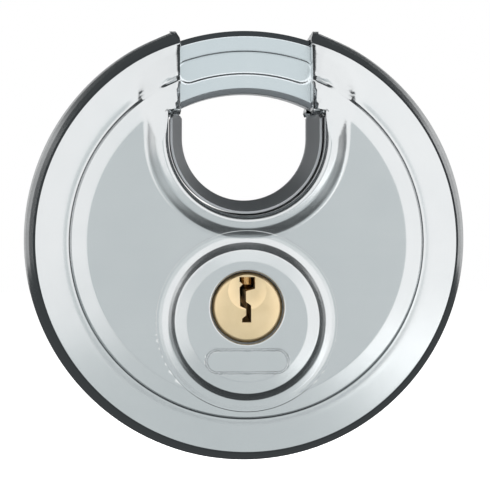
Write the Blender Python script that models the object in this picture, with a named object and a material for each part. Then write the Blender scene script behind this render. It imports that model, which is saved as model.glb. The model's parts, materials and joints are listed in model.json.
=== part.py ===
"""Round shrouded padlock: a stamped case around a U throat, a shackle that turns into the case, and a pin
cylinder that turns it.

Lengths are in millimetres until finish() makes them metres. X is right, Z is up and the front faces -Y.
The origin is the middle of the shackle's inner face. The shackle turns about the disc axis, which is
parallel to Y. The plug turns about its own axis below it. A drive pin on the plug's crank runs round a
circle that passes through the disc axis, so the shackle turns by half the plug's angle.
"""

import math

import bmesh
import bpy
from mathutils import Matrix

MM = 0.001

# Heights of the axes and edges that the rest is placed from
DISC_Z = -23.2
PLUG_Z = DISC_Z - 10.0
BOSS_Z = DISC_Z - 12.2
THROAT_Z = DISC_Z + 16.2
LEDGE_Z = DISC_Z + 21.0
FLARE_LOW_Z = DISC_Z + 31.8
FLARE_HIGH_Z = DISC_Z + 33.5
SKY_Z = DISC_Z + 45.0

# Case. The profiles are (radius, depth) and the loops are (half width, depth)
SEAM_GAP = 0.1
FACE_DEPTH = 14.0
CASE_PROFILE = (
    (24.7, 12.5), (25.5, 12.95), (27.2, 12.5), (27.9, 11.6), (29.4, 10.9), (33.0, 10.1), (33.9, 9.1),
    (34.2, 7.6), (34.7, 3.5), (35.0, 0.8),
)
CAVITY_PROFILE = ((26.0, 11.3), (28.6, 9.7), (32.3, 9.0), (33.0, 7.8), (33.5, 3.0))
COLLAR_END_PROFILE = ((26.2, 16.0), (27.0, 13.6), (27.6, 12.3), (27.7, 9.5))
COLLAR_LOOPS = ((16.0, 9.5), (16.0, 12.3), (15.6, 13.1), (14.9, 13.7), (13.9, FACE_DEPTH))
THROAT_RADIUS = 12.1
THROAT_LIP_LOOPS = ((12.1, 12.4), (12.35, 13.2), (12.9, 13.8), (13.6, 14.2), (14.0, 16.0))
CHEEK_ROWS = ((10.3, -3.0), (10.3, 12.0), (11.4, FACE_DEPTH), (12.6, 16.0))
CHEEK_FLARE = 0.8
THROAT_WALL_RADIUS = 13.3
BOSS_PROFILE = ((10.4, FACE_DEPTH), (11.5, 13.7), (12.2, 12.9), (13.0, 12.4), (13.0, 11.8))
BOSS_ROOM_PROFILE = ((9.6, 12.8), (10.4, 12.0), (10.4, 9.0))
KEYHOLE_RADIUS = 5.65
BADGE_Z = DISC_Z - 18.3
BADGE_LENGTH = 13.0
BADGE_HEIGHT = 3.9
BADGE_LINE = 0.35
BADGE_DEPTH = 0.25
OUTSIDE = 20.0

# Liner
LINER_OUTER = 11.85
LINER_HALF_DEPTH = 9.3
LINER_MOUTH = 11.5
LINER_WAIST = 9.9
WAIST_HALF_DEPTH = 1.5
LINER_TOP_Z = DISC_Z + 19.8

# Shackle, with angles from +X towards +Z about the disc axis
SHACKLE_INNER = 23.2
SHACKLE_OUTER = 33.1
SHACKLE_HALF_DEPTH = 4.8
SHACKLE_CHAMFER = 0.9
SHACKLE_TIP = 130.0
SHACKLE_TAIL = -66.0
PASSAGE_GAP = 0.3
RECESS_HALF_ANGLE = 18.5
RECESS_INNER = 26.2
RECESS_OUTER = 30.0
RECESS_DEPTH = 0.3

# Drive from the plug to the shackle
CRANK_RADIUS = 10.0
LUG_ANGLE = -56.0
LUG_FRONT = 5.3
LUG_REAR = 7.5
LUG_INNER = 15.2
LUG_OUTER = 29.0
LUG_HALF_WIDTH = 3.9
DRIVE_PIN_RADIUS = 1.5
FORK_HALF_WIDTH = 1.58
CRANK_FRONT = 7.8
CRANK_REAR = 9.3

# Core and plug
CORE_RADIUS = 22.6
CORE_FRONT = -10.6
CORE_REAR = 3.8
HORN_REAR = 4.9
NOSE_RADIUS = 9.5
NOSE_FRONT = -12.5
PLUG_RADIUS = 5.4
BORE_RADIUS = 5.5
PLUG_FRONT = -13.8
TAIL_HALF_SIDE = 2.0

# Pin stacks, along the plug
PIN_COUNT = 5
PIN_FIRST_Y = -8.9
PIN_PITCH = 2.8
PIN_RADIUS = 0.95
CHAMBER_RADIUS = 1.08
KEY_PIN_TOP = 5.2
KEY_PIN_TIP = 2.6
DRIVER_BOTTOM = 5.5
DRIVER_TOP = 7.9
SPRING_BOTTOM = 8.0
SPRING_TOP = 11.1
CHAMBER_TOP = 11.2
SPRING_RADIUS = 0.7
SPRING_WIRE = 0.16
SPRING_TURNS = 4

# Guides
GUIDE_NEAR = 5.1
GUIDE_FAR = 8.1
GUIDE_INNER = 22.95
GUIDE_OUTER = 31.9
SPACER_OUTER = 33.0
SPACER_ARC = (134.5, 221.5)
FRONT_GUIDE_ARC = (-246.0, 66.0)
REAR_RIGHT_GUIDE_ARC = (-43.0, 66.0)
REAR_LEFT_GUIDE_ARC = (114.0, 223.0)
SCREW_PLACES = ((19.8, 28.0), (19.8, 5.0), (19.8, 160.0), (28.0, 205.0))
SCREW_HEAD_RADIUS = 1.9
COUNTERBORE_Y = 6.6
SCREW_SHANK_RADIUS = 1.0
TAB_RADIUS = 2.7
DRILL_PIN_OFFSET = 7.2
DRILL_PIN_RADIUS = 0.9

# Facets
ROUND_STEPS = 60
COLLAR_END_STEPS = 58
BORE_STEPS = 48
SMALL_STEPS = 16
ARC_STEP = 5.0


def material(name, colour, metallic, roughness):
    made = bpy.data.materials.new(name)
    made.use_nodes = True
    shader = made.node_tree.nodes["Principled BSDF"]
    shader.inputs["Base Color"].default_value = (*colour, 1.0)
    shader.inputs["Metallic"].default_value = metallic
    shader.inputs["Roughness"].default_value = roughness
    return made


def solid(name, points, faces, pivot=(0.0, 0.0, 0.0), paint=None):
    """An object from points in millimetres, with its origin on the pivot and its faces pointing out."""
    mesh = bpy.data.meshes.new(name)
    mesh.from_pydata([[p - q for p, q in zip(point, pivot)] for point in points], [], faces)
    work = bmesh.new()
    work.from_mesh(mesh)
    bmesh.ops.recalc_face_normals(work, faces=work.faces)
    work.to_mesh(mesh)
    work.free()
    made = bpy.data.objects.new(name, mesh)
    made.location = pivot
    bpy.context.scene.collection.objects.link(made)
    if paint:
        mesh.materials.append(paint)
    return made


def loft(name, loops, **options):
    """A solid through loops that have the same number of points, with flat ends."""
    count = len(loops[0])
    points = [point for loop in loops for point in loop]
    faces = [tuple(range(count)), tuple(range(len(points) - count, len(points)))]
    for row in range(len(loops) - 1):
        for i in range(count):
            j = (i + 1) % count
            a = row * count
            faces.append((a + i, a + j, a + count + j, a + count + i))
    return solid(name, points, faces, **options)


def prism(name, outline, near, far, **options):
    """An outline of (x, z) carried along Y."""
    return loft(name, [[(x, y, z) for x, z in outline] for y in (near, far)], **options)


def circle(x, z, radius, steps, start=0.0):
    turn = 2 * math.pi / steps
    angles = [start + turn * i for i in range(steps)]
    return [(x + radius * math.cos(angle), z + radius * math.sin(angle)) for angle in angles]


def rod(name, x, z, radius, near, far, steps, **options):
    """A round bar along Y."""
    return prism(name, circle(x, z, radius, steps), near, far, **options)


def lathe(name, profile, centre_z, steps, side=1, **options):
    """A profile of (radius, depth) turned about a line along Y, with flat ends."""
    rows = []
    for radius, depth in profile:
        rows.append([(x, side * depth, z) for x, z in circle(0.0, centre_z, radius, steps)])
    return loft(name, rows, **options)


def sector(name, section, start, end, centre_z=DISC_Z, step=ARC_STEP, **options):
    """A closed section of (radius, y) swept about a line along Y, between two angles in degrees."""
    steps = math.ceil((end - start) / step)
    loops = []
    for i in range(steps + 1):
        angle = math.radians(start + (end - start) * i / steps)
        loops.append([(r * math.cos(angle), y, centre_z + r * math.sin(angle)) for r, y in section])
    return loft(name, loops, **options)


def ring(name, inner, outer, near, far, steps, centre_z, **options):
    """A washer about a line along Y."""
    corners = ((inner, near), (outer, near), (outer, far), (inner, far))
    points = []
    for radius, y in corners:
        points += [(x, y, z) for x, z in circle(0.0, centre_z, radius, steps)]
    faces = []
    for row in range(4):
        a = row * steps
        b = (row + 1) % 4 * steps
        faces += [(a + i, a + (i + 1) % steps, b + (i + 1) % steps, b + i) for i in range(steps)]
    return solid(name, points, faces, **options)


def slab(near, far, inner, outer):
    """A square section of (radius, y)."""
    return ((inner, near), (outer, near), (outer, far), (inner, far))


def throat_outline(half_width, top_z, steps=28):
    """The U of the throat: a half circle with straight sides up to top_z."""
    half = [math.pi * (1 + i / steps) for i in range(steps + 1)]
    curve = [(half_width * math.cos(a), THROAT_Z + half_width * math.sin(a)) for a in half]
    return [(-half_width, top_z), *curve, (half_width, top_z)]


def throat_loft(name, loops, top_z, side=1, **options):
    """A U-shaped solid from (half width, depth) pairs."""
    rows = []
    for half_width, depth in loops:
        rows.append([(x, side * depth, z) for x, z in throat_outline(half_width, top_z)])
    return loft(name, rows, **options)


def box(name, low, high, **options):
    outline = [(low[0], low[2]), (high[0], low[2]), (high[0], high[2]), (low[0], high[2])]
    return prism(name, outline, low[1], high[1], **options)


def lozenge(length, height, centre_z, steps=12):
    """A flat bar with round ends, as (x, z)."""
    radius = height / 2
    reach = length / 2 - radius
    points = []
    for middle, start in ((reach, -90.0), (-reach, 90.0)):
        for i in range(steps + 1):
            angle = math.radians(start + 180.0 * i / steps)
            points.append((middle + radius * math.cos(angle), centre_z + radius * math.sin(angle)))
    return points


def link_outline(first, first_radius, second, second_radius, steps=12):
    """Two circles and the straight lines that touch both, as (x, z)."""
    run = (second[0] - first[0], second[1] - first[1])
    heading = math.atan2(run[1], run[0])
    lean = math.acos((first_radius - second_radius) / math.hypot(*run))
    points = []
    for centre, radius, start, sweep in (
        (first, first_radius, heading + lean, 2 * math.pi - 2 * lean),
        (second, second_radius, heading - lean, 2 * lean),
    ):
        for i in range(steps + 1):
            angle = start + sweep * i / steps
            points.append((centre[0] + radius * math.cos(angle), centre[1] + radius * math.sin(angle)))
    return points


def combine(target, tool, operation):
    """Cuts, joins or trims the target by the tool, and removes the tool."""
    modifier = target.modifiers.new(tool.name, "BOOLEAN")
    modifier.operation = operation
    modifier.solver = "EXACT"
    modifier.object = tool
    tool.hide_render = True
    tool.display_type = "WIRE"
    bpy.context.view_layer.update()
    shaped = target.evaluated_get(bpy.context.evaluated_depsgraph_get())
    mesh = bpy.data.meshes.new_from_object(shaped)
    target.modifiers.clear()
    old = target.data
    target.data = mesh
    mesh.name = target.name
    bpy.data.meshes.remove(old)
    bpy.data.objects.remove(tool)


def cut(target, tool):
    combine(target, tool, "DIFFERENCE")


def join(target, tool):
    combine(target, tool, "UNION")


def polar(radius, degrees):
    """The (x, z) at this radius and angle about the disc axis."""
    angle = math.radians(degrees)
    return radius * math.cos(angle), DISC_Z + radius * math.sin(angle)


def build_shell(name, side, steel, keyhole):
    """One stamped half of the case: the turned form, collar and boss, hollowed and cut by the throat."""
    mid = SEAM_GAP / 2
    profile = (*CASE_PROFILE, (CASE_PROFILE[-1][0], mid))
    shell = lathe(name, profile, DISC_Z, ROUND_STEPS, side, paint=steel)
    collar = throat_loft("collar", COLLAR_LOOPS, SKY_Z, side)
    combine(collar, lathe("collar_end", COLLAR_END_PROFILE, DISC_Z, COLLAR_END_STEPS, side), "INTERSECT")
    join(shell, collar)
    join(shell, lathe("boss", BOSS_PROFILE, BOSS_Z, BORE_STEPS, side))

    hollow = (*CAVITY_PROFILE, (CAVITY_PROFILE[-1][0], -1.0))
    cavity = lathe("cavity", hollow, DISC_Z, ROUND_STEPS, side)
    join(cavity, lathe("boss_room", BOSS_ROOM_PROFILE, BOSS_Z, BORE_STEPS, side))
    wall = THROAT_WALL_RADIUS
    cut(cavity, throat_loft("keep", ((wall, -3.0), (wall, OUTSIDE)), SKY_Z, side))
    cut(shell, cavity)

    cut(shell, throat_loft("throat", ((THROAT_RADIUS, -3.0), *THROAT_LIP_LOOPS), LEDGE_Z, side))
    cheek_rows = []
    for half_width, depth in CHEEK_ROWS:
        flared = half_width + CHEEK_FLARE
        right = [(half_width, THROAT_Z), (half_width, FLARE_LOW_Z), (flared, FLARE_HIGH_Z), (flared, SKY_Z)]
        corners = right + [(-x, z) for x, z in reversed(right)]
        cheek_rows.append([(x, side * depth, z) for x, z in corners])
    cut(shell, loft("cheeks", cheek_rows))
    depth = SHACKLE_HALF_DEPTH + PASSAGE_GAP
    section = slab(-depth, depth, SHACKLE_INNER - PASSAGE_GAP, SHACKLE_OUTER + 0.2)
    passage = sector("passage", section, 48.0, 132.0, step=4.2)
    reach = wall + 0.2
    between_ears = box("between_ears", (-reach, -OUTSIDE, THROAT_Z), (reach, OUTSIDE, SKY_Z))
    combine(passage, between_ears, "INTERSECT")
    cut(shell, passage)
    if keyhole:
        cut(shell, rod("keyhole", 0.0, PLUG_Z, KEYHOLE_RADIUS, -OUTSIDE, -9.0, BORE_STEPS))
        cut_badge(shell)
    return shell


def cut_badge(shell):
    """The engraved outline under the plug: a thin band with round ends."""
    bottom = -(FACE_DEPTH - BADGE_DEPTH)
    band = prism("band", lozenge(BADGE_LENGTH, BADGE_HEIGHT, BADGE_Z), -OUTSIDE, bottom)
    line = 2 * BADGE_LINE
    middle = lozenge(BADGE_LENGTH - line, BADGE_HEIGHT - line, BADGE_Z)
    cut(band, prism("middle", middle, -OUTSIDE - 1.0, bottom + 1.0))
    cut(shell, band)


def build_liner(steel):
    """The U insert in the throat, narrowest at half depth."""
    half = LINER_HALF_DEPTH
    faces = ((LINER_OUTER, -half), (LINER_OUTER, half))
    liner = throat_loft("throat_liner", faces, LINER_TOP_Z, paint=steel)
    mouth = (LINER_MOUTH + 0.2, half + 0.8)
    waist = (LINER_WAIST, WAIST_HALF_DEPTH)
    rows = ((mouth[0], -mouth[1]), (waist[0], -waist[1]), waist, mouth)
    cut(liner, throat_loft("waist", rows, SKY_Z))
    return liner


def build_shackle(steel):
    """The C-shaped bar, its front recess, and the forked lug behind its tail."""
    depth = SHACKLE_HALF_DEPTH
    edge = SHACKLE_CHAMFER
    section = (
        (SHACKLE_INNER, -depth + edge), (SHACKLE_INNER + edge, -depth),
        (SHACKLE_OUTER - edge, -depth), (SHACKLE_OUTER, -depth + edge),
        (SHACKLE_OUTER, depth - edge), (SHACKLE_OUTER - edge, depth),
        (SHACKLE_INNER + edge, depth), (SHACKLE_INNER, depth - edge),
    )
    pivot = (0.0, 0.0, DISC_Z)
    shackle = sector("shackle", section, SHACKLE_TAIL, SHACKLE_TIP, step=3.5, pivot=pivot, paint=steel)

    cut(shackle, prism("recess", recess_outline(), -depth - 1.0, -depth + RECESS_DEPTH))
    join(shackle, prism("foot", turned_bar(24.0, LUG_OUTER, LUG_HALF_WIDTH), depth - 1.0, LUG_FRONT + 0.5))
    fork = turned_bar(LUG_INNER, LUG_OUTER, LUG_HALF_WIDTH, notched=True)
    join(shackle, prism("fork", fork, LUG_FRONT, LUG_REAR))
    return shackle


def recess_outline(steps=24, end_steps=8):
    """The curved bar with round ends in the shackle's front face, as (x, z)."""
    radius = (RECESS_OUTER - RECESS_INNER) / 2
    middle = (RECESS_OUTER + RECESS_INNER) / 2
    points = []
    for edge, side in ((RECESS_OUTER, 1), (RECESS_INNER, -1)):
        reach = side * RECESS_HALF_ANGLE
        points += [polar(edge, 90 - reach + 2 * reach * i / steps) for i in range(steps + 1)]
        x, z = polar(middle, 90 + reach)
        for i in range(1, end_steps):
            angle = math.radians((90 if side > 0 else 270) + reach + 180 * i / end_steps)
            points.append((x + radius * math.cos(angle), z + radius * math.sin(angle)))
    return points


def turned_bar(inner, outer, half_width, notched=False):
    """A bar that points at the disc axis at the lug's angle, with or without the fork's notch, as (x, z)."""
    flat = [(inner, -half_width), (outer, -half_width), (outer, half_width), (inner, half_width)]
    if notched:
        root = 2 * CRANK_RADIUS + 0.4
        flat.append((inner, FORK_HALF_WIDTH))
        for i in range(9):
            angle = math.radians(90 - 22.5 * i)
            flat.append((root + FORK_HALF_WIDTH * math.cos(angle), FORK_HALF_WIDTH * math.sin(angle)))
        flat.append((inner, -FORK_HALF_WIDTH))
    along = math.radians(LUG_ANGLE)
    return [(u * math.cos(along) - v * math.sin(along), DISC_Z + u * math.sin(along) + v * math.cos(along))
            for u, v in flat]


def drive_pin_place():
    """The drive pin's (x, z): on the crank's circle, in the direction of the lug from the disc axis."""
    reach = 2 * CRANK_RADIUS * math.cos(math.radians(90 + LUG_ANGLE))
    return polar(reach, LUG_ANGLE)


def build_core(zinc):
    """The cylinder housing, with the plug's bore, the pin chambers and the room for the crank."""
    core = rod("core", 0.0, DISC_Z, CORE_RADIUS, CORE_FRONT, HORN_REAR, ROUND_STEPS, paint=zinc)
    join(core, rod("nose", 0.0, BOSS_Z, NOSE_RADIUS, NOSE_FRONT, CORE_FRONT + 1.0, BORE_STEPS))
    clearance = THROAT_WALL_RADIUS + 0.3
    cut(core, throat_loft("throat_room", ((clearance, -OUTSIDE), (clearance, OUTSIDE)), SKY_Z))
    cut(core, box("crank_room", (-30.0, CORE_REAR, DISC_Z - 40.0), (30.0, 10.0, DISC_Z + 1.0)))
    cut(core, rod("bore", 0.0, PLUG_Z, BORE_RADIUS, -OUTSIDE, OUTSIDE, BORE_STEPS))
    floor_z = PLUG_Z + CHAMBER_TOP
    cut(core, box("cover_room", (-2.4, -10.3, floor_z), (2.4, CORE_REAR - 0.3, floor_z + 4.0)))
    for y in pin_places():
        cut(core, upright("chamber", y, CHAMBER_RADIUS, PLUG_Z + 4.0, floor_z + 0.5))
    for x in (-DRILL_PIN_OFFSET, DRILL_PIN_OFFSET):
        cut(core, rod("drill_hole", x, PLUG_Z, DRILL_PIN_RADIUS + 0.15, -OUTSIDE, -8.5, SMALL_STEPS))
    for radius, degrees in SCREW_PLACES[:3]:
        x, z = polar(radius, degrees)
        cut(core, rod("screw_hole", x, z, SCREW_SHANK_RADIUS + 0.2, 0.5, OUTSIDE, SMALL_STEPS))
    return core


def pin_places():
    return [PIN_FIRST_Y + PIN_PITCH * i for i in range(PIN_COUNT)]


def upright(name, y, radius, low, high, steps=SMALL_STEPS, **options):
    """A round bar along Z on the plug's middle plane."""
    outline = circle(0.0, y, radius, steps)
    return loft(name, [[(a, b, z) for a, b in outline] for z in (low, high)], **options)


def build_plug(brass):
    """The plug with its clip groove, square tail, keyway, key entry and pin chambers."""
    pivot = (0.0, 0.0, PLUG_Z)
    body = (
        (4.9, PLUG_FRONT), (PLUG_RADIUS, PLUG_FRONT + 0.5), (PLUG_RADIUS, 3.95),
        (4.6, 3.95), (4.6, 4.55), (PLUG_RADIUS, 4.55), (PLUG_RADIUS, 5.0),
    )
    plug = lathe("plug", body, PLUG_Z, BORE_STEPS, pivot=pivot, paint=brass)
    side = TAIL_HALF_SIDE
    join(plug, box("tail", (-side, 4.5, PLUG_Z - side), (side, CRANK_REAR + 0.2, PLUG_Z + side)))
    stub = ((1.35, 9.0), (1.35, 10.15), (1.9, 10.15), (1.9, 10.5))
    join(plug, lathe("stub", stub, PLUG_Z, SMALL_STEPS))
    keyway = (
        (-1.2, 4.7), (-1.2, 4.0), (-0.7, 3.6), (-1.2, 3.1), (-1.1, 0.2),
        (-0.2, -0.2), (-0.2, -1.2), (-0.8, -1.7), (-0.8, -2.3), (0.6, -2.3),
        (0.6, 0.3), (-0.2, 0.9), (-0.2, 2.5), (1.2, 2.9), (1.2, 4.7),
    )
    outline = [(x, PLUG_Z + z) for x, z in keyway]
    cut(plug, prism("keyway", outline, -OUTSIDE, 3.3))
    for y in pin_places():
        cut(plug, upright("chamber", y, CHAMBER_RADIUS, PLUG_Z + 0.9, PLUG_Z + 8.0))
    dish = (
        (0.6, PLUG_FRONT + 0.5), (1.3, PLUG_FRONT + 0.42), (2.3, PLUG_FRONT + 0.2), (3.0, PLUG_FRONT - 0.1),
        (3.0, PLUG_FRONT - 1.0),
    )
    cut(plug, lathe("dish", dish, PLUG_Z + 2.6, 24))
    return plug


def build_crank(steel, spring_steel):
    """The crank plate, the drive pin on it, the clip behind it and the plug's own clip."""
    pivot = (0.0, 0.0, PLUG_Z)
    x, z = drive_pin_place()
    outline = link_outline((0.0, PLUG_Z), 4.6, (x, z), 2.7)
    plate = prism("crank_plate", outline, CRANK_FRONT, CRANK_REAR, pivot=pivot, paint=steel)
    side = TAIL_HALF_SIDE + 0.1
    cut(plate, box("square_hole", (-side, 0.0, PLUG_Z - side), (side, OUTSIDE, PLUG_Z + side)))
    cut(plate, rod("pin_hole", x, z, DRIVE_PIN_RADIUS + 0.1, 0.0, OUTSIDE, 24))
    rod("drive_pin", x, z, DRIVE_PIN_RADIUS, 5.2, CRANK_REAR + 0.3, 24, pivot=pivot, paint=steel)
    near = CRANK_REAR + 0.3
    ring("crank_clip", 1.5, 3.3, near, near + 0.45, 24, PLUG_Z, pivot=pivot, paint=spring_steel)
    section = slab(4.0, 4.5, 4.7, 6.6)
    sector("plug_clip", section, -55.0, 235.0, PLUG_Z, 12.0, pivot=pivot, paint=spring_steel)


def build_pins(brass, spring_steel):
    """Five stacks of key pin, driver pin and spring, parted at the plug's edge, as the key holds them."""
    point = 0.4
    for i, y in enumerate(pin_places(), 1):
        low = PLUG_Z + KEY_PIN_TIP
        middle = PLUG_Z + KEY_PIN_TOP
        rings = (
            (0.35, low), (PIN_RADIUS, low + 2 * point),
            (PIN_RADIUS, middle - 0.1), (PIN_RADIUS - 0.15, middle),
        )
        rows = [[(a, b, z) for a, b in circle(0.0, y, r, SMALL_STEPS)] for r, z in rings]
        loft(f"key_pin_{i}", rows, pivot=(0.0, y, middle), paint=brass)
        low = PLUG_Z + DRIVER_BOTTOM
        high = PLUG_Z + DRIVER_TOP
        rings = ((PIN_RADIUS - 0.15, low), (PIN_RADIUS, low + 0.15), (PIN_RADIUS, high))
        rows = [[(a, b, z) for a, b in circle(0.0, y, r, SMALL_STEPS)] for r, z in rings]
        loft(f"driver_pin_{i}", rows, pivot=(0.0, y, low), paint=spring_steel)
        build_spring(f"pin_spring_{i}", y, PLUG_Z + SPRING_BOTTOM, PLUG_Z + SPRING_TOP, spring_steel)


def build_spring(name, y, low, high, paint):
    """A round wire carried along a helix about a vertical line."""
    low += SPRING_WIRE
    high -= SPRING_WIRE
    sides = 4
    steps = 10 * SPRING_TURNS
    rows = []
    for i in range(steps + 1):
        turn = 2 * math.pi * SPRING_TURNS * i / steps
        height = low + (high - low) * i / steps
        row = []
        for j in range(sides):
            angle = 2 * math.pi * j / sides
            reach = SPRING_RADIUS + SPRING_WIRE * math.cos(angle)
            rise = height + SPRING_WIRE * math.sin(angle)
            row.append((reach * math.cos(turn), y + reach * math.sin(turn), rise))
        rows.append(row)
    loft(name, rows, pivot=(0.0, y, high), paint=paint)


def build_guides(zinc, steel):
    """The plates before and behind the shackle, the block in its channel's spare part, and their screws."""
    ear = THROAT_WALL_RADIUS + 0.3
    front = slab(-GUIDE_FAR, -GUIDE_NEAR, GUIDE_INNER, GUIDE_OUTER)
    rear = slab(GUIDE_NEAR, GUIDE_FAR, GUIDE_INNER, GUIDE_OUTER)
    plates = (
        ("front_guide", front, FRONT_GUIDE_ARC, ()),
        ("rear_guide_right", rear, REAR_RIGHT_GUIDE_ARC, SCREW_PLACES[:2]),
        ("rear_guide_left", rear, REAR_LEFT_GUIDE_ARC, SCREW_PLACES[2:]),
    )
    for name, section, arc, screws in plates:
        plate = sector(name, section, *arc, paint=zinc)
        for radius, degrees in screws:
            if radius < GUIDE_INNER:
                near = polar(radius, degrees)
                far = polar(radius + 6.0, degrees)
                outline = link_outline(near, TAB_RADIUS, far, TAB_RADIUS - 0.01)
                join(plate, prism("tab", outline, GUIDE_NEAR, GUIDE_FAR))
        cut(plate, throat_loft("ear_room", ((ear, -OUTSIDE), (ear, OUTSIDE)), SKY_Z))
        for radius, degrees in screws:
            x, z = polar(radius, degrees)
            cut(plate, rod("clearance", x, z, SCREW_SHANK_RADIUS + 0.2, 0.0, OUTSIDE, SMALL_STEPS))
            room = SCREW_HEAD_RADIUS + 0.2
            cut(plate, rod("counterbore", x, z, room, COUNTERBORE_Y, OUTSIDE, SMALL_STEPS))

    inner = SHACKLE_INNER - 0.2
    section = slab(-4.8, 4.8, inner, SPACER_OUTER)
    spacer = sector("channel_spacer", section, *SPACER_ARC, paint=zinc)
    x, z = polar(*SCREW_PLACES[3])
    cut(spacer, rod("spacer_hole", x, z, SCREW_SHANK_RADIUS + 0.2, 0.5, OUTSIDE, SMALL_STEPS))

    for i, (radius, degrees) in enumerate(SCREW_PLACES, 1):
        x, z = polar(radius, degrees)
        name = f"guide_screw_{i}"
        screw = rod(name, x, z, SCREW_HEAD_RADIUS, 6.8, 8.0, SMALL_STEPS, pivot=(x, 8.0, z), paint=steel)
        join(screw, rod("shank", x, z, SCREW_SHANK_RADIUS, 1.0, 7.2, SMALL_STEPS))
        cut(screw, box("slot", (x - 3.0, 7.5, z - 0.25), (x + 3.0, 9.0, z + 0.25)))


def build_small_parts(zinc, steel):
    """The chamber cover and the two hardened pins in the core's front."""
    floor_z = PLUG_Z + CHAMBER_TOP
    box("chamber_cover", (-2.2, -10.1, floor_z + 0.1), (2.2, CORE_REAR - 0.5, floor_z + 0.9), paint=steel)
    for name, x in (("drill_pin_left", -DRILL_PIN_OFFSET), ("drill_pin_right", DRILL_PIN_OFFSET)):
        rod(name, x, PLUG_Z, DRILL_PIN_RADIUS, NOSE_FRONT + 0.1, -8.7, SMALL_STEPS, paint=steel)


def finish():
    """Millimetres become metres, and round pieces are smooth with their corners kept sharp."""
    for made in bpy.data.objects:
        made.data.transform(Matrix.Scale(MM, 4))
        made.location = made.location * MM
        made.data.polygons.foreach_set("use_smooth", [True] * len(made.data.polygons))
        made.data.set_sharp_from_angle(angle=math.radians(32.0))


def main():
    for old in list(bpy.data.objects):
        bpy.data.objects.remove(old)
    stainless = material("stainless", (0.78, 0.80, 0.80), 1.0, 0.16)
    liner_steel = material("liner_steel", (0.62, 0.63, 0.63), 1.0, 0.3)
    hardened = material("hardened_steel", (0.74, 0.78, 0.80), 1.0, 0.2)
    brass = material("brass", (0.83, 0.66, 0.42), 1.0, 0.25)
    zinc = material("zinc", (0.55, 0.56, 0.57), 0.8, 0.45)
    spring_steel = material("spring_steel", (0.6, 0.6, 0.6), 1.0, 0.3)
    build_shell("front_shell", -1, stainless, keyhole=True)
    build_shell("rear_shell", 1, stainless, keyhole=False)
    build_liner(liner_steel)
    build_shackle(hardened)
    build_core(zinc)
    build_plug(brass)
    build_crank(hardened, spring_steel)
    build_pins(brass, spring_steel)
    build_guides(zinc, hardened)
    build_small_parts(zinc, hardened)
    finish()


main()
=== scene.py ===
import json

import bmesh
import bpy
import numpy as np
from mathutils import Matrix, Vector


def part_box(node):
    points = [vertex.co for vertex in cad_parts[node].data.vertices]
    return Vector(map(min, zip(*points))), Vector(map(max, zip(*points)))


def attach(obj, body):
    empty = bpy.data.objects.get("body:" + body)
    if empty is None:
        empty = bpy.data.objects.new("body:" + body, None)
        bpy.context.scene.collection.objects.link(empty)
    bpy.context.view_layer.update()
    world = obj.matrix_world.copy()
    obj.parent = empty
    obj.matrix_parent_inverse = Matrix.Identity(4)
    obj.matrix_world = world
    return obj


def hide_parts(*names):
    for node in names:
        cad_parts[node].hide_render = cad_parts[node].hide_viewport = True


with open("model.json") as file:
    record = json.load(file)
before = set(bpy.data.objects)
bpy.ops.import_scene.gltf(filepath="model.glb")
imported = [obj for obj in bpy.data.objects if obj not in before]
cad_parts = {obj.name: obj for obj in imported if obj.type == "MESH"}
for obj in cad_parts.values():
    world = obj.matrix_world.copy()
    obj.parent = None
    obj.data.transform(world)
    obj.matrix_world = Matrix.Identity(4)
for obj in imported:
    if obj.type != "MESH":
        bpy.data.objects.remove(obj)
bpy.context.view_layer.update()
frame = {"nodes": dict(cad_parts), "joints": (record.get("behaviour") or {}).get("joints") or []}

# ---------------------------------------------------------------------------------------------------------
# Case halves. The real case is two stampings of polished stainless sheet that meet at the middle. Each has
# a raised floor, a bright band and a crease round it, an outer ring rolled over to the side wall, and a
# collar round the throat. They are crimped together over the works.
# ---------------------------------------------------------------------------------------------------------

MM = 0.001
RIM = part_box("front_shell")[1].x / MM
turn_of = {joint["name"]: joint for joint in frame["joints"]}
DISC_Z = turn_of["shackle_turn"]["pos_m"][2] / MM
PLUG_Z = turn_of["plug_turn"]["pos_m"][2] / MM
BOSS_Z = DISC_Z - 12.2
THROAT_Z = DISC_Z + 16.2
LEDGE_Z = DISC_Z + 20.4
SHEET = 0.9
THROAT = 12.1
CHEEK = 10.3
CHEEK_FLARE = 0.8
FLARE_Z = DISC_Z + 31.8
FLARE_RUN = 1.7
RIM_SPREAD = 0.72
PASSAGE_DEPTH = 5.25
PASSAGE_ROOF = 33.4
SEAM = 0.05
FLOOR_EDGE = 24.4
SECTION = (
    (FLOOR_EDGE, 12.5), (24.7, 12.5), (27.1, 12.05), (27.4, 11.35), (27.55, 11.14),
    (27.8, 11.07), (28.4, 11.03), (29.0, 10.93), (32.75, 10.15), (33.1, 9.7),
    (33.9, 7.0), (34.6, 4.0), (34.95, 1.6), (RIM, 0.5), (RIM, SEAM),
)
COLLAR = ((12.0, 14.0), (13.0, 14.0), (13.9, 13.72), (14.9, 13.06), (15.7, 12.5), (16.6, 11.6), (17.5, -9.0))
COLLAR_END = (
    (18.0, 14.3), (20.0, 14.05), (23.0, 13.35), (26.0, 12.5), (27.5, 11.98),
    (29.0, 11.35), (30.5, 10.75), (32.2, 10.0), (33.0, -9.0),
)
LIP_ROLL = 1.1
BOSS = ((0.0, 13.98), (9.3, 13.98), (11.1, 13.68), (11.7, 13.2), (12.3, 12.78), (13.1, 12.58), (14.0, 12.46),
        (14.3, 12.2))
COVER_EDGE = 14.1
WEB_REACH = 18.6
WEB = ((27.05, 31.5, 31.6), (12.05, 10.42, 0.0))
NOTCH_REACH = 13.2
NOTCH_RADIUS = 27.6
NOTCH_DEPTH = 0.55


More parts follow.
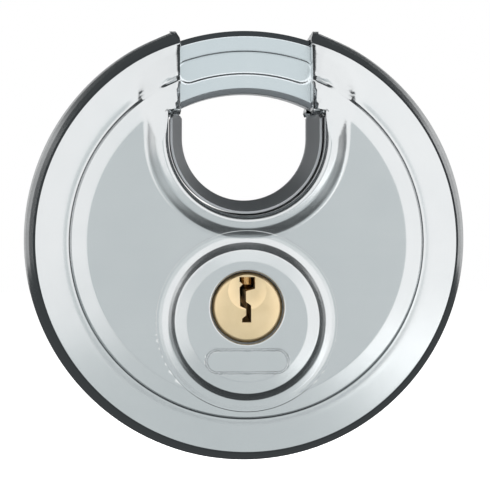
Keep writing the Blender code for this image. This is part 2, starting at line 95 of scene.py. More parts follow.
def eased(knots, window):
    """Height against distance: straight lines through the knots, then their mean over a window this wide,
    so that each corner becomes a small radius."""
    reach = np.linspace(knots[0][0] - 1, knots[-1][0] + 1, 8001)
    line = np.interp(reach, *np.array(knots).T)
    wide = max(3, round(window / (reach[1] - reach[0])))
    weight = np.hanning(wide + 2)[1:-1]
    line = np.convolve(np.pad(line, wide, "edge"), weight / weight.sum(), "same")[wide:-wide]
    return lambda distance: np.interp(distance, reach, line)


def section_lines(knots, count, window=0.16):
    """Points along a section: the polyline through the knots, averaged over a short window of its length,
    then sampled so that the steps are short where it bends. Gives radius and depth, each of that count."""
    knots = np.array(knots)
    run = np.concatenate([[0], np.cumsum(np.hypot(*np.diff(knots, axis=0).T))])
    fine = np.linspace(0, run[-1], 6001)
    wide = round(window / (fine[1] - fine[0]))
    weight = np.hanning(wide + 2)[1:-1]
    padded = [np.pad(np.interp(fine, run, knots[:, i]), wide, "edge") for i in (0, 1)]
    radius, depth = (np.convolve(line, weight / weight.sum(), "same")[wide:-wide] for line in padded)
    bend = np.abs(np.gradient(np.unwrap(np.arctan2(np.gradient(depth), np.gradient(radius)))))
    load = np.concatenate([[0], np.cumsum(bend[1:] * 1.6 + np.diff(fine) * 0.55)])
    pick = np.interp(np.linspace(0, load[-1], count), load, fine)
    return np.interp(pick, fine, radius), np.interp(pick, fine, depth)


collar_depth = eased(COLLAR, 0.35)
collar_end_depth = eased(COLLAR_END, 0.9)
case_depth = eased(SECTION[:11], 0.16)
boss_depth = eased(BOSS, 0.3)


def cheek_x(z):
    """Half the gap between the ears: straight, then flaring at the rim."""
    return CHEEK + CHEEK_FLARE * np.clip((z - FLARE_Z) / FLARE_RUN, 0, 1)


def throat_edge_distance(x, z):
    """How far a point is outside the U of the throat, or outside the gap between the ears over the ledge."""
    bowl = np.hypot(x, z - THROAT_Z) - THROAT
    side = np.abs(x) - THROAT
    gap = np.abs(x) - cheek_x(z)
    below = np.where(z < THROAT_Z, bowl, side)
    share = np.clip((z - LEDGE_Z) / 0.25, 0, 1)
    return below * (1 - share) + gap * share


def pressed_depth(x, z, plain, radius):
    """Depth of the stamped face: the greatest of the turned section and the collar, which stops at its end
    circle, brought down round the throat by a quarter circle and along the cheeks by a slope."""
    bowl = np.where(z < THROAT_Z, np.hypot(x, z - THROAT_Z), np.abs(x))
    collar = np.minimum(collar_depth(bowl), collar_end_depth(radius))
    web = np.clip((WEB_REACH - np.abs(x)) / 5.4, 0, 1) * (z > THROAT_Z)
    web = web * web * (3 - 2 * web)
    plain = plain + web * np.maximum(np.interp(radius, *WEB) - plain, 0)
    mix = np.clip(0.5 + (collar - plain) / 0.4, 0, 1)
    depth = collar * mix + plain * (1 - mix) + 0.2 * mix * (1 - mix)
    fold = np.clip((NOTCH_REACH - np.abs(x)) / 1.2, 0, 1) * (z > THROAT_Z)
    depth = depth - NOTCH_DEPTH * fold * np.exp(-(((radius - NOTCH_RADIUS) / 0.28) ** 2))
    edge = np.clip(throat_edge_distance(x, z), 0, 9)
    rolled = 14.0 - LIP_ROLL * (1 - np.sqrt(1 - (1 - np.clip(edge / LIP_ROLL, 0, 1)) ** 2))
    sloped = 12.0 + edge * 2.0 / 1.1
    lip = np.where(z > LEDGE_Z, sloped, rolled)
    corner = 0.3 * (1 - np.sqrt(1 - (1 - np.clip(edge / 0.3, 0, 1)) ** 2))
    return np.minimum(depth - corner, lip)


def make_piece(name, points, faces, towards=None, sharp=38.0):
    """A smooth mesh from points in millimetres. Points that coincide are made one, and the faces are turned
    to look towards a direction, or out of a closed shape if none is given."""
    used, place = np.unique(np.concatenate([np.ravel(f) for f in faces]), return_inverse=True)
    split = np.split(place, np.cumsum([np.size(f) for f in faces])[:-1])
    rows = [part.reshape(np.shape(f)).tolist() for part, f in zip(split, faces)]
    mesh = bpy.data.meshes.new(name)
    mesh.from_pydata((points.reshape(-1, 3)[used] * MM).tolist(), [], [row for part in rows for row in part])
    work = bmesh.new()
    work.from_mesh(mesh)
    bmesh.ops.remove_doubles(work, verts=work.verts, dist=3e-6)
    if towards is None:
        bmesh.ops.recalc_face_normals(work, faces=work.faces)
    elif sum((face.normal * face.calc_area() for face in work.faces), Vector()).dot(Vector(towards)) < 0:
        bmesh.ops.reverse_faces(work, faces=work.faces)
    work.to_mesh(mesh)
    work.free()
    mesh.shade_smooth()
    mesh.set_sharp_from_angle(angle=np.radians(sharp))
    piece = bpy.data.objects.new(name, mesh)
    bpy.context.scene.collection.objects.link(piece)
    return piece


def grid_faces(rows, columns, start=0, around=False):
    """Four neighbours of a grid make a face. around joins the last column to the first."""
    number = start + np.arange(rows * columns).reshape(rows, columns)
    if around:
        number = np.concatenate([number, number[:, :1]], axis=1)
    corners = [number[:-1, :-1], number[:-1, 1:], number[1:, 1:], number[1:, :-1]]
    return np.stack(corners, axis=-1).reshape(-1, 4)


def closed_faces(points):
    """The faces of a closed bar, whose rows are its sections: neighbours along it, and a cap at each end."""
    rows, columns = points.shape[:2]
    near = np.arange(columns)[None, :]
    far = np.arange(columns)[None, ::-1] + (rows - 1) * columns
    return [grid_faces(rows, columns, around=True), near, far]


def add_wall(piece, thickness):
    """Gives an open sheet the thickness of its metal, inwards."""
    wall = piece.modifiers.new("sheet metal", "SOLIDIFY")
    wall.thickness = thickness * MM
    wall.offset = -1.0
    wall.use_even_offset = False


def case_half(name, side):
    """One stamping as a grid: a station goes round the throat's edge and a line goes from there out to the
    rim. Outside the floor the lines are circles about the disc axis; inside it they close in on the throat.
    The first and last stations turn down the cheeks, and the first lines turn down into the throat."""
    turn = np.linspace(0, -np.pi, 250)
    ledge_x = np.linspace(CHEEK, THROAT, 7)[:-1]
    straight_z = np.linspace(LEDGE_Z, THROAT_Z, 18)[:-1]
    half_x = np.concatenate([ledge_x, np.full(17, THROAT)])
    half_z = np.concatenate([np.full(6, LEDGE_Z), straight_z])
    edge_x = np.concatenate([half_x, THROAT * np.cos(turn), -half_x[::-1]])
    edge_z = np.concatenate([half_z, THROAT_Z + THROAT * np.sin(turn), half_z[::-1]])
    run = np.concatenate([[0], np.cumsum(np.hypot(np.diff(edge_x), np.diff(edge_z)))])
    share = (run / run[-1])[:, None]
    corner = np.arccos((CHEEK + RIM_SPREAD) / RIM)
    bearing = corner - share * (np.pi + 2 * corner)
    rim_x, rim_z = RIM * np.cos(bearing), DISC_Z + RIM * np.sin(bearing)
    near_x, near_z = edge_x[:, None], edge_z[:, None]

    radii, depths = section_lines(SECTION, 74)
    go_x, go_z = rim_x - near_x, rim_z - near_z
    from_x, from_z = near_x, near_z - DISC_Z
    a = go_x ** 2 + go_z ** 2
    b = from_x * go_x + from_z * go_z
    c = from_x ** 2 + from_z ** 2 - radii[None, :] ** 2
    reach = (-b + np.sqrt(np.maximum(b ** 2 - a * c, 0))) / a
    first = reach[:, :1]
    length = first * np.sqrt(a)
    part = np.minimum(4.4 / length, 0.7)
    close = part * (np.arange(28) / 28.0) ** 1.5
    open_part = part + (1 - part) * np.arange(30) / 30.0
    inner = first * np.concatenate([close, open_part], axis=1)
    along = np.concatenate([inner, reach], axis=1)
    x, z = near_x + along * go_x, near_z + along * go_z
    end_line = CHEEK + RIM_SPREAD * (z - LEDGE_Z) / (rim_z[0] - LEDGE_Z)
    fade = np.clip(1 - np.minimum(share, 1 - share) / 0.05, 0, 1) ** 2
    x = x + np.sign(go_x + 1e-9) * fade * (cheek_x(z) - end_line) * (np.abs(x) > 0.5 * CHEEK)
    plain = np.concatenate([np.full(58, depths[0]), depths])[None, :] + 0 * x
    radius = np.hypot(x, z - DISC_Z)
    depth = pressed_depth(x, z, plain, radius)

    into = np.linspace(1, 0.25, 4)[None, :]
    lip = depth[:, :1]
    x = np.concatenate([x[:, :1] + 0 * into, x], axis=1)
    z = np.concatenate([z[:, :1] + 0 * into, z], axis=1)
    depth = np.concatenate([lip + (PASSAGE_DEPTH - lip) * into, depth], axis=1)
    points = np.stack([x, side * depth, z], axis=-1)
    faces = grid_faces(*points.shape[:2])
    middle = points.reshape(-1, 3)[faces].mean(axis=1)
    shown = np.hypot(middle[:, 0], middle[:, 2] - BOSS_Z) > COVER_EDGE - 0.5
    piece = make_piece(name, points, [faces[shown]], towards=(0, side, 0))
    add_wall(piece, SHEET)
    return piece, points


def ear_wall(name, edge):
    """The flat end of an ear, behind the stamping's edge line: a section of four corners, the sheet's
    thickness wide, which goes from just under the face down to the shackle's passage, or to the seam."""
    x, y, z = edge[4:].T
    side, depth = np.sign(y[0]), np.abs(y)
    target = np.where(np.hypot(x, z - DISC_Z) > PASSAGE_ROOF, SEAM, PASSAGE_DEPTH)
    top = depth - 0.8 * SHEET
    deep = top - target > 0.05
    x, z, top, target = (values[deep] for values in (x, z, top, target))
    near, far = x + 0.01 * np.sign(x), x + SHEET * np.sign(x)
    section = ((near, top), (near, target), (far, target), (far, top))
    corners = [np.stack([across, deep_in, z], axis=-1) for across, deep_in in section]
    rows = np.stack(corners, axis=1) * np.array([1, side, 1])
    return make_piece(name, rows, closed_faces(rows), sharp=25.0)


class Wire:
    """A node socket. Sums and products of wires, or of a wire and a number, add Math nodes."""

    def __init__(self, tree, socket):
        self.tree = tree
        self.socket = socket

    def node(self, kind, settings=None, sockets=None, output=0):
        """Adds one node to the tree: its settings first, then the values or wires of its sockets."""
        made = self.tree.nodes.new("ShaderNode" + kind)
        for key, value in (settings or {}).items():
            if key == "stops":
                ramp = made.color_ramp.elements
                for i, (place, shade) in enumerate(value):
                    stop = ramp[i] if i < 2 else ramp.new(place)
                    stop.position = place
                    stop.color = (*shade, 1.0)
            else:
                setattr(made, key, value)
        for key, value in (sockets or {}).items():
            if isinstance(value, Wire):
                self.tree.links.new(value.socket, made.inputs[key])
            else:
                made.inputs[key].default_value = value
        return Wire(self.tree, made.outputs[output])

    def math(self, operation, first, second=0.0, clamp=False):
        return self.node("Math", {"operation": operation, "use_clamp": clamp}, {0: first, 1: second})

    def __add__(self, other):
        return self.math("ADD", self, other)

    def __radd__(self, other):
        return self.math("ADD", other, self)

    def __sub__(self, other):
        return self.math("SUBTRACT", self, other)

    def __rsub__(self, other):
        return self.math("SUBTRACT", other, self)

    def __mul__(self, other):
        return self.math("MULTIPLY", self, other)

    def __rmul__(self, other):
        return self.math("MULTIPLY", other, self)

    def __truediv__(self, other):
        return self.math("DIVIDE", self, other)

    def stretched(self, scale, place=(0.0, 0.0, 0.0), turn=(0.0, 0.0, 0.0)):
        """Coordinates moved, turned and then scaled."""
        moved = self.node("Mapping", {"vector_type": "TEXTURE"}, {1: place, 2: turn})
        self.tree.links.new(self.socket, moved.socket.node.inputs[0])
        return moved.node("VectorMath", {"operation": "MULTIPLY"}, {0: moved, 1: scale})

    def noise(self, scale, detail=3.0, roughness=0.55):
        """Noise from 0 to 1 over these coordinates."""
        sockets = {"Vector": self, "Scale": scale, "Detail": detail, "Roughness": roughness}
        return self.node("TexNoise", None, sockets)

    def tint(self, low, high):
        """A colour between two, by this wire."""
        return self.node("Mix", {"data_type": "RGBA"}, {0: self, 6: (*low, 1.0), 7: (*high, 1.0)}, output=2)

    def bump(self, strength, distance):
        """A normal from this wire as a height, the distance in metres."""
        return self.node("Bump", None, {"Strength": strength, "Distance": distance, "Height": self})


def new_finish(name, **uniform):
    """An empty metal finish: its shader, and the object's own coordinates as a wire."""
    made = bpy.data.materials.new(name)
    made.use_nodes = True
    tree = made.node_tree
    shader = tree.nodes["Principled BSDF"]
    for key, value in uniform.items():
        shader.inputs[key.replace("_", " ")].default_value = value
    place = tree.nodes.new("ShaderNodeTexCoord")
    return made, shader, Wire(tree, place.outputs["Object"])


def drive(shader, **wires):
    """Joins wires to the shader's sockets."""
    for key, wire in wires.items():
        wire.tree.links.new(wire.socket, shader.inputs[key.replace("_", " ")])


def worn_metal(name, low, high, smooth, dull, grain=5200.0, across=(60.0, 60.0, 1800.0), bump=0.06):
    """A polished or satin metal: cloudy colour, fine grain, hairlines along one direction, dull patches."""
    made, shader, spot = new_finish(name, Metallic=1.0)
    cloud = spot.noise(90.0, 4.0)
    fine = spot.noise(grain, 2.0)
    hair = spot.stretched(across).noise(1.0, 2.0)
    smear = spot.noise(260.0, 3.0)
    tone = cloud * 0.6 + fine * 0.25 + hair * 0.15
    gloss = smooth + (dull - smooth) * (smear * 0.5 + hair * 0.3 + fine * 0.2)
    relief = fine * 0.5 + hair * 0.5
    drive(shader, Base_Color=tone.tint(low, high), Roughness=gloss, Normal=relief.bump(bump, 0.00003))
    return made


stainless = worn_metal("polished_stainless", (0.60, 0.62, 0.63), (0.70, 0.71, 0.715), 0.16, 0.30)
case_front, front_points = case_half("case_front", -1)
case_rear, rear_points = case_half("case_rear", 1)
pressed = (
    (case_front, "front_shell"), (case_rear, "rear_shell"),
    (ear_wall("ear_wall_front_right", front_points[0]), "front_shell"),
    (ear_wall("ear_wall_front_left", front_points[-1]), "front_shell"),
    (ear_wall("ear_wall_rear_right", rear_points[0]), "rear_shell"),
    (ear_wall("ear_wall_rear_left", rear_points[-1]), "rear_shell"),
)
for half, node in pressed:
    half.data.materials.append(stainless)
    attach(half, "case")
    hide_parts(node)

# ---------------------------------------------------------------------------------------------------------
# Boss covers. The round dome low on each face is part of its stamping: a flat top, a bright sloped band,
# a step and a soft foot that runs out on the floor. The front one is pierced for the plug and has a plain
# engraved outline below the hole. It is drawn as a patch of its own so that the hole and the line are crisp.
# ---------------------------------------------------------------------------------------------------------

KEYHOLE = 5.65
BADGE_Z = DISC_Z - 18.3
BADGE_REACH = 4.55
BADGE_HALF = 1.95
BADGE_LINE = 0.35
BADGE_DEPTH = 0.25
PATCH_LIFT = 0.015


def badge_cut(x, z):
    """Depth of the engraved line: a band inside the outline of a bar with round ends."""
    inside = BADGE_HALF - np.hypot(np.maximum(np.abs(x) - BADGE_REACH, 0), z - BADGE_Z)
    near = np.clip(inside / 0.07, 0, 1)
    far = np.clip((BADGE_LINE - inside) / 0.07, 0, 1)
    return BADGE_DEPTH * np.minimum(near, far)


def boss_cover(name, side, pierced):
    """Rings of points from the keyhole, or from the middle, out to the foot: the ring's centre moves from
    the plug's axis to the boss's axis as its radius grows. Depth is the greater of the boss and the face."""
    angle = np.linspace(0, 2 * np.pi, 380, endpoint=False)[None, :]
    slow = np.linspace(0, 1, 62)[:, None]
    lip = np.array([0, 0.04, 0.12, 0.25])[:, None]
    outer = 9.3 + (COVER_EDGE - 9.3) * np.linspace(0, 1, 52)[1:, None]
    if pierced:
        start = KEYHOLE + 0.3
        radius = np.concatenate([KEYHOLE + lip, start + (9.3 - start) * slow, outer])
        centre = np.concatenate([PLUG_Z + 0 * lip, PLUG_Z + (BOSS_Z - PLUG_Z) * slow, BOSS_Z + 0 * outer])
    else:
        radius = np.concatenate([0.4 + 8.9 * slow[::4], outer])
        centre = BOSS_Z + 0 * radius
    x, z = radius * np.cos(angle), centre + radius * np.sin(angle)
    from_axis = np.hypot(x, z - DISC_Z)
    face = pressed_depth(x, z, case_depth(from_axis), from_axis)
    depth = np.maximum(face, boss_depth(np.hypot(x, z - BOSS_Z))) + PATCH_LIFT
    if pierced:
        over = np.clip((radius - KEYHOLE) / 0.3, 0, 1)
        depth = depth - badge_cut(x, z) - 0.3 * (1 - np.sqrt(1 - (1 - over) ** 2))
    points = np.stack([x, side * depth, z], axis=-1)
    faces = [grid_faces(*points.shape[:2], around=True)]
    if not pierced:
        faces.append(np.arange(points.shape[1])[None, :])
    piece = make_piece(name, points, faces, towards=(0, side, 0))
    add_wall(piece, SHEET)
    piece.data.materials.append(stainless)
    return piece


boss_front = boss_cover("boss_front", -1, True)
boss_rear = boss_cover("boss_rear", 1, False)
for cover, node in ((boss_front, "front_shell"), (boss_rear, "rear_shell")):
    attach(cover, "case")
    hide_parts(node)

# ---------------------------------------------------------------------------------------------------------
# Throat liner. A U of satin steel that fills the throat between the two collars, coned in from both mouths
# to a narrow waist. It is held by the collars' lips.
# ---------------------------------------------------------------------------------------------------------

LINER_OUTER = 11.85
LINER_HALF = 9.3
LINER_MOUTH = 11.45
LINER_WAIST = 9.9
WAIST_HALF = 1.5
LINER_TOP_Z = DISC_Z + 19.8


def along_throat(section, turns, straights, end_cut):
    """A closed section of (half width, y) carried down one side of the throat, round its bowl and up the
    other side. The last row at each end draws in towards the section's middle, which chamfers the ends."""
    half, y = section_lines(section, 150, 0.22)
    half, y = half[:-1], y[:-1]
    turn = np.linspace(0, -np.pi, turns)[:, None]
    climb = np.linspace(LINER_TOP_Z - end_cut, THROAT_Z, straights)[:-1, None]
    bowl = np.stack([half * np.cos(turn), y + 0 * turn, THROAT_Z + half * np.sin(turn)], axis=-1)
    leg = np.stack([half + 0 * climb, y + 0 * climb, climb + 0 * half], axis=-1)
    tip = leg[:1].copy()
    tip[..., 0] += np.sign(11.2 - tip[..., 0]) * np.minimum(end_cut * 0.6, np.abs(11.2 - tip[..., 0]) * 0.8)
    tip[..., 1] *= 1 - end_cut / LINER_HALF
    tip[..., 2] = LINER_TOP_Z
    right = np.concatenate([tip, leg])
    left = right[::-1] * np.array([-1, 1, 1])
    return np.concatenate([right, bowl, left])


liner_section = (
    (LINER_WAIST, -WAIST_HALF), (LINER_MOUTH, -LINER_HALF), (LINER_OUTER, -LINER_HALF),
    (LINER_OUTER, LINER_HALF), (LINER_MOUTH, LINER_HALF), (LINER_WAIST, WAIST_HALF), (LINER_WAIST, -WAIST_HALF),
)
rows = along_throat(liner_section, 160, 14, 0.5)
liner = make_piece("liner", rows, closed_faces(rows))
satin = worn_metal(
    "satin_liner", (0.46, 0.475, 0.49), (0.56, 0.575, 0.59), 0.42, 0.55, across=(1500.0, 60.0, 1500.0), bump=0.1,
)
liner.data.materials.append(satin)
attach(liner, "case")
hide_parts("throat_liner")

# ---------------------------------------------------------------------------------------------------------
# Shackle. A C-shaped bar of hardened, plated steel, chamfered along its edges, with a shallow recess in its
# front face, which is left blank. It slides round inside the case between the guides.
# ---------------------------------------------------------------------------------------------------------

SHACKLE_INNER = 23.2
SHACKLE_OUTER = 33.1
SHACKLE_HALF = 4.8
SHACKLE_CHAMFER = 0.9
SHACKLE_ARC = (-66.0, 130.0)
RECESS_MID = 28.1
RECESS_HALF = 1.9
RECESS_ANGLE = 18.5
RECESS_DEPTH = 0.3


def recess_cut(radius, degrees):
    """Depth of the recess: a curved slot with round ends, measured along and across its middle line."""
    along = np.maximum(np.abs(degrees - 90.0) - RECESS_ANGLE, 0) * np.pi / 180 * RECESS_MID
    inside = RECESS_HALF - np.hypot(along, radius - RECESS_MID)
    return RECESS_DEPTH * np.clip(inside / 0.3, 0, 1) ** 0.8


def shackle_rows():
    """The bar's section carried round the disc axis. The first and last few rows draw in along a quarter
    circle, which rounds the ends."""
    low, high, edge, half = SHACKLE_INNER, SHACKLE_OUTER, SHACKLE_CHAMFER, SHACKLE_HALF
    mid = (low + high) / 2
    section = (
        (mid, -half), (high - edge, -half), (high, -half + edge), (high, half - edge), (high - edge, half),
        (low + edge, half), (low, half - edge), (low, -half + edge), (low + edge, -half), (mid, -half),
    )
    radius, y = section_lines(section, 140, 0.3)
    radius, y = radius[:-1], y[:-1]
    front = np.linspace(low + edge + 0.2, high - edge - 0.2, 60)
    keep = y > -half + 1e-3
    radius = np.concatenate([radius[keep], front])
    y = np.concatenate([y[keep], -half + 0 * front])
    turned = np.arctan2(y, radius - mid)
    place = np.argsort(turned)
    radius, y = radius[place], y[place]

    roll = 0.7
    step = roll * (1 - np.cos(np.linspace(0, np.pi / 2, 6)))
    inset = roll * (1 - np.sin(np.linspace(0, np.pi / 2, 6)))
    degree = 180 / np.pi / mid
    body = np.linspace(SHACKLE_ARC[0] + roll * degree, SHACKLE_ARC[1] - roll * degree, 330)
    head = SHACKLE_ARC[0] + step[:-1] * degree
    tail = SHACKLE_ARC[1] - step[:-1][::-1] * degree
    degrees = np.concatenate([head, body, tail])[:, None]
    draw = np.concatenate([inset[:-1], 0 * body, inset[:-1][::-1]])[:, None]
    r = mid + (radius - mid) * (1 - draw / ((high - low) / 2))
    d = y * (1 - draw / half)
    d = d + np.where(d < -half + 0.01, recess_cut(r, degrees), 0)
    angle = np.radians(degrees)
    return np.stack([r * np.cos(angle), d, DISC_Z + r * np.sin(angle)], axis=-1)


rows = shackle_rows()
shackle_bar = make_piece("shackle_bar", rows, closed_faces(rows), sharp=50.0)
along_bar = (1400.0, 60.0, 60.0)
plated = worn_metal("plated_steel", (0.70, 0.75, 0.78), (0.79, 0.83, 0.85), 0.14, 0.26, across=along_bar)
shackle_bar.data.materials.append(plated)
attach(shackle_bar, "shackle")
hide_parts("shackle")

# ---------------------------------------------------------------------------------------------------------
# Forked lug. A steel plate on the rear of the shackle's tail, with a slot that the crank's drive pin slides
# in. It is welded to the bar through a low foot.
# ---------------------------------------------------------------------------------------------------------

LUG_ANGLE = np.radians(-56.0)
LUG_REACH = (15.2, 29.0)
LUG_HALF_WIDTH = 3.9
FORK_HALF_WIDTH = 1.58
FORK_ROOT = 20.4
LUG_DEPTH = (5.3, 7.5)


def slab_between(name, outline, near, far, edge):
    """An outline of (x, z) carried along Y, with its edges rolled over by a Bevel."""
    x, z = np.array(outline).T
    points = np.stack([np.stack([x, y + 0 * x, z], axis=-1) for y in (near, far)])
    piece = make_piece(name, points, closed_faces(points), sharp=30.0)
    rolled = piece.modifiers.new("rolled edge", "BEVEL")
    rolled.width = edge * MM
    rolled.segments = 2
    rolled.limit_method = "ANGLE"
    rolled.angle_limit = np.radians(40.0)
    return piece


def along_lug(u, v):
    """Points measured along and across the lug, turned to its angle about the disc axis, as (x, z)."""
    x = u * np.cos(LUG_ANGLE) - v * np.sin(LUG_ANGLE)
    return np.stack([x, DISC_Z + u * np.sin(LUG_ANGLE) + v * np.cos(LUG_ANGLE)], axis=-1)


turn = np.linspace(np.pi / 2, -np.pi / 2, 17)
fork_u = np.concatenate([[LUG_REACH[0]], FORK_ROOT + FORK_HALF_WIDTH * np.cos(turn), [LUG_REACH[0]]])
fork_v = np.concatenate([[FORK_HALF_WIDTH], FORK_HALF_WIDTH * np.sin(turn), [-FORK_HALF_WIDTH]])
plate_u = np.concatenate([[LUG_REACH[0], LUG_REACH[1], LUG_REACH[1], LUG_REACH[0]], fork_u])
plate_v = np.concatenate([LUG_HALF_WIDTH * np.array([-1, -1, 1, 1]), fork_v])
lug = slab_between("shackle_lug", along_lug(plate_u, plate_v), *LUG_DEPTH, 0.25)
foot_u = np.array([24.0, 29.0, 29.0, 24.0])
foot_v = LUG_HALF_WIDTH * 0.97 * np.array([-1, -1, 1, 1])
foot_depth = (SHACKLE_HALF - 0.05, LUG_DEPTH[0] + 0.05)
foot = slab_between("shackle_lug_foot", along_lug(foot_u, foot_v), *foot_depth, 0.02)
for piece in (lug, foot):
    piece.data.materials.append(plated)
    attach(piece, "shackle")
    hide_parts("shackle")

# ---------------------------------------------------------------------------------------------------------
# Plug. A turned brass cylinder with a chamfered front, a clip groove, and a square tail that carries the
# crank. The warded keyway is broached along it, and a round dish is milled in its face to guide the key.
# ---------------------------------------------------------------------------------------------------------

PLUG_RADIUS = 5.4
PLUG_FACE = -13.8
TAIL_HALF = 2.0
PIN_FIRST_Y = -8.9
PIN_PITCH = 2.8
DRILL_RADIUS = 1.08
DISH_Z = PLUG_Z + 2.6
KEYWAY = (
    (-1.2, 4.7), (-1.2, 4.0), (-0.7, 3.6), (-1.2, 3.1), (-1.1, 0.2),
    (-0.2, -0.2), (-0.2, -1.2), (-0.8, -1.7), (-0.8, -2.3), (0.6, -2.3),
    (0.6, 0.3), (-0.2, 0.9), (-0.2, 2.5), (1.2, 2.9), (1.2, 4.7),
)
# (radius, y, whether this ring is square)
PLUG_RINGS = (
    (0.3, PLUG_FACE, 0), (2.5, PLUG_FACE, 0), (4.85, PLUG_FACE, 0), (4.93, PLUG_FACE + 0.03, 0),
    (5.36, PLUG_FACE + 0.44, 0), (PLUG_RADIUS, PLUG_FACE + 0.52, 0), (PLUG_RADIUS, -9.0, 0),
    (PLUG_RADIUS, 3.9, 0), (5.35, 3.95, 0), (4.6, 3.95, 0), (4.6, 4.55, 0), (5.35, 4.55, 0),
    (PLUG_RADIUS, 4.6, 0), (5.35, 5.0, 0), (2.9, 5.0, 0), (0, 5.0, 1), (0, 9.5, 1),
    (1.35, 9.5, 0), (1.35, 10.15, 0), (1.9, 10.2, 0), (1.9, 10.5, 0), (0.3, 10.5, 0),
)


def turned_plug():
    """Rings about the plug's axis. On the tail the radius is that of a square, half its side over the
    greater of the angle's sine and cosine."""
    angle = np.linspace(0, 2 * np.pi, 144, endpoint=False)
    square = TAIL_HALF / np.maximum(np.abs(np.cos(angle)), np.abs(np.sin(angle)))
    rings = np.array(PLUG_RINGS)
    radius = np.where(rings[:, 2:] > 0, square[None, :], rings[:, :1])
    y = rings[:, 1:2] + 0 * radius
    return np.stack([radius * np.cos(angle), y, PLUG_Z + radius * np.sin(angle)], axis=-1)


def carve(piece, tool):
    """Takes the tool's shape out of the piece, then removes the tool."""
    cut = piece.modifiers.new(tool.name, "BOOLEAN")
    cut.operation = "DIFFERENCE"
    cut.solver = "EXACT"
    cut.object = tool
    bpy.context.view_layer.update()
    mesh = bpy.data.meshes.new_from_object(piece.evaluated_get(bpy.context.evaluated_depsgraph_get()))
    piece.modifiers.clear()
    piece.data = mesh
    bpy.data.objects.remove(tool)


rows = turned_plug()
plug = make_piece("plug_turned", rows, closed_faces(rows))
outline = np.array(KEYWAY) + np.array([0, PLUG_Z])
tool = slab_between("keyway_broach", outline, -20.0, 3.3, 0.0)
tool.modifiers.clear()
carve(plug, tool)
angle = np.linspace(0, 2 * np.pi, 97)[:-1]
dish = np.array([(0.1, 0.33), (1.3, 0.3), (2.35, 0.18), (2.95, 0.02), (3.0, -0.3), (3.0, -1.0), (0.1, -1.0)])
reach, deep = dish[:, :1], PLUG_FACE + dish[:, 1:]
dish_rows = [reach * np.cos(angle), deep + 0 * angle, DISH_Z + reach * np.sin(angle)]
dish_rows = np.stack(dish_rows, axis=-1)
carve(plug, make_piece("dish_cutter", dish_rows, closed_faces(dish_rows)))
ring = np.linspace(0, 2 * np.pi, 25)[:-1]
level = PLUG_Z + np.array([[0.9], [8.0]])
for i in range(5):
    y = PIN_FIRST_Y + PIN_PITCH * i + DRILL_RADIUS * np.sin(ring)
    drill = np.stack([DRILL_RADIUS * np.cos(ring) + 0 * level, y + 0 * level, level + 0 * ring], axis=-1)
    carve(plug, make_piece("pin_drill", drill, closed_faces(drill)))
plug.data.shade_smooth()
plug.data.set_sharp_from_angle(angle=np.radians(28.0))

brass, shader, spot = new_finish("machined_brass", Metallic=1.0)
across_face = spot.stretched((1.0, 0.0, 1.0), (0.0, 0.0, PLUG_Z * MM))
from_axis = across_face.node("VectorMath", {"operation": "LENGTH"}, output=1)
wobble = spot.noise(700.0, 2.0)
phase = from_axis * 16000.0 + wobble * 5.0
marks = phase.math("SINE", phase) * 0.5 + 0.5
cloud = spot.noise(420.0, 4.0)
grain = spot.noise(7000.0, 2.0)
tone = cloud * 0.55 + grain * 0.2 + marks * 0.25
drive(
    shader,
    Base_Color=tone.tint((0.80, 0.60, 0.34), (0.93, 0.75, 0.49)),
    Roughness=0.26 + cloud * 0.16 + marks * 0.06,
    Normal=(marks * 0.6 + grain * 0.4).bump(0.12, 0.00003),
)
plug.data.materials.clear()
plug.data.materials.append(brass)
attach(plug, "plug")
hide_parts("plug")

# ---------------------------------------------------------------------------------------------------------
# Works. The die-cast core, the hardened guides and crank, the drawn clips, screws, pins and springs sit
# inside the case. Their shapes come from the model; each gets the finish of its metal.
# ---------------------------------------------------------------------------------------------------------

zinc = worn_metal("cast_zinc", (0.40, 0.41, 0.42), (0.54, 0.55, 0.56), 0.42, 0.62, grain=2600.0, bump=0.35)
hardened = worn_metal("ground_steel", (0.44, 0.45, 0.46), (0.58, 0.59, 0.60), 0.24, 0.40, bump=0.12)
drawn = worn_metal("drawn_wire", (0.42, 0.42, 0.43), (0.60, 0.60, 0.60), 0.22, 0.36, bump=0.1)
pin_brass = worn_metal("pin_brass", (0.62, 0.45, 0.24), (0.80, 0.62, 0.38), 0.2, 0.36, bump=0.1)
finish_of_slot = {"zinc": zinc, "hardened_steel": hardened, "spring_steel": drawn, "brass": pin_brass}
replaced = {"front_shell", "rear_shell", "throat_liner", "shackle", "plug"}
for name, node in frame["nodes"].items():
    if name in replaced:
        continue
    finish = finish_of_slot[node.data.materials[0].name]
    node.data.materials.clear()
    node.data.materials.append(finish)

# ---------------------------------------------------------------------------------------------------------
# Studio. A pale sweep under and behind the lock, large soft panels above and at both sides of the camera,
# and a long lens a little to the left of square-on and a little above.
# ---------------------------------------------------------------------------------------------------------

floor_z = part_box("front_shell")[0].z / MM - 90.0
floor_x = np.linspace(-1500, 1500, 9)[:, None]
floor_y = np.linspace(-700, 2300, 9)[None, :]
flat = 0 * (floor_x + floor_y)
floor_points = np.stack([floor_x + flat, floor_y + flat, floor_z + flat], axis=-1)
ground = make_piece("ground", floor_points, [grid_faces(9, 9)], towards=(0, 0, 1))
paper, shader, spot = new_finish("pale_paper", Roughness=0.9)
shader.inputs["Emission Color"].default_value = (1.0, 1.0, 1.0, 1.0)
shader.inputs["Emission Strength"].default_value = 1.0
drive(shader, Base_Color=spot.noise(14.0, 3.0).tint((0.92, 0.92, 0.92), (0.95, 0.95, 0.95)))
ground.data.materials.append(paper)
ground.visible_glossy = False

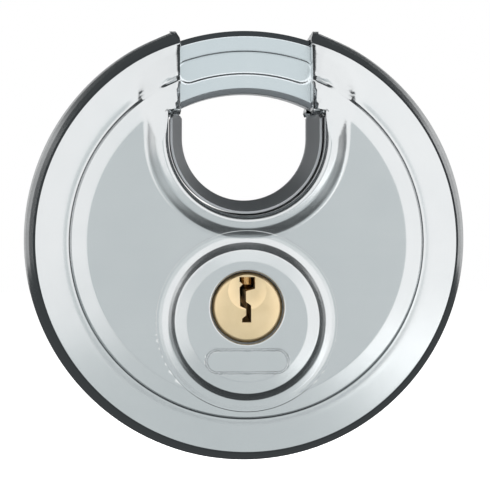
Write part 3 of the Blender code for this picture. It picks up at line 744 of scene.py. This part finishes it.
scene = bpy.context.scene
world = bpy.data.worlds.new("surroundings")
scene.world = world
world.use_nodes = True
tree = world.node_tree
for node in list(tree.nodes):
    tree.nodes.remove(node)
ray = Wire(tree, tree.nodes.new("ShaderNodeLightPath").outputs["Is Camera Ray"])
room = ray.node("Background", None, {"Color": (0.80, 0.88, 0.92, 1.0), "Strength": 0.07})
paper_wall = ray.node("Background", None, {"Color": (1.0, 1.0, 1.0, 1.0), "Strength": 1.0})
mixed = ray.node("MixShader", None, {0: ray, 1: room, 2: paper_wall})
tree.links.new(mixed.socket, tree.nodes.new("ShaderNodeOutputWorld").inputs["Surface"])


def panel(name, place, aim, width, height, radiance, colour=(1.0, 1.0, 1.0)):
    """A soft rectangular light, in millimetres. Its power is its radiance times pi times its area."""
    lamp = bpy.data.lights.new(name, "AREA")
    lamp.shape = "RECTANGLE"
    lamp.size = width * MM
    lamp.size_y = height * MM
    lamp.energy = radiance * np.pi * lamp.size * lamp.size_y
    lamp.color = colour
    stand = bpy.data.objects.new(name, lamp)
    scene.collection.objects.link(stand)
    stand.location = Vector(place) * MM
    stand.rotation_euler = (Vector(aim) - Vector(place)).to_track_quat("-Z", "Y").to_euler()
    return stand


WALL_Y = -900
panel("front_panel", (0, WALL_Y - 5, 10), (0, 0, 10), 560, 520, 0.77, (0.93, 0.99, 1.0))
panel("left_panel", (-1335, WALL_Y, 450), (-1335, 0, 450), 2130, 1500, 1.2)
panel("right_panel", (1335, WALL_Y, 390), (1335, 0, 390), 2130, 1640, 1.24)
panel("upper_panel", (0, WALL_Y, 820), (0, 0, 820), 540, 1160, 1.15)
panel("lower_panel", (0, WALL_Y, -900), (0, 0, -900), 4800, 1240, 0.76, (0.93, 0.99, 1.0))
panel("back_card", (40, 900, 60), (40, 0, 60), 1050, 330, 0.62)
rear_lit = bpy.data.collections.new("rear_lit")
for piece in (case_rear, boss_rear):
    rear_lit.objects.link(piece)
for name, x, z in (("rear_left", 700, 60), ("rear_right", -700, 60), ("rear_upper", 0, 640)):
    rear = panel(name, (x, -WALL_Y, z), (x, 0, z), 860, 900, 1.1)
    rear.light_linking.receiver_collection = rear_lit
overhead = panel("overhead_panel", (0, 200, 820), (0, 200, 0), 1600, 1300, 2.4)
overhead.visible_glossy = False

LENS_DISTANCE = 400.0
bearing, tilt = np.radians(-2.2), np.radians(1.8)
aim = np.array([0.17, 0.0, DISC_Z - 0.78])
back = np.array([np.sin(bearing) * np.cos(tilt), -np.cos(bearing) * np.cos(tilt), np.sin(tilt)])
lens = bpy.data.cameras.new("camera")
lens.lens = 184.2
lens.sensor_width = 36.0
lens.clip_start = 0.01
camera = bpy.data.objects.new("camera", lens)
scene.collection.objects.link(camera)
camera.location = Vector((aim + back * LENS_DISTANCE) * MM)
camera.rotation_euler = Vector(-back).to_track_quat("-Z", "Y").to_euler()
scene.camera = camera
scene.view_settings.view_transform = "Standard"
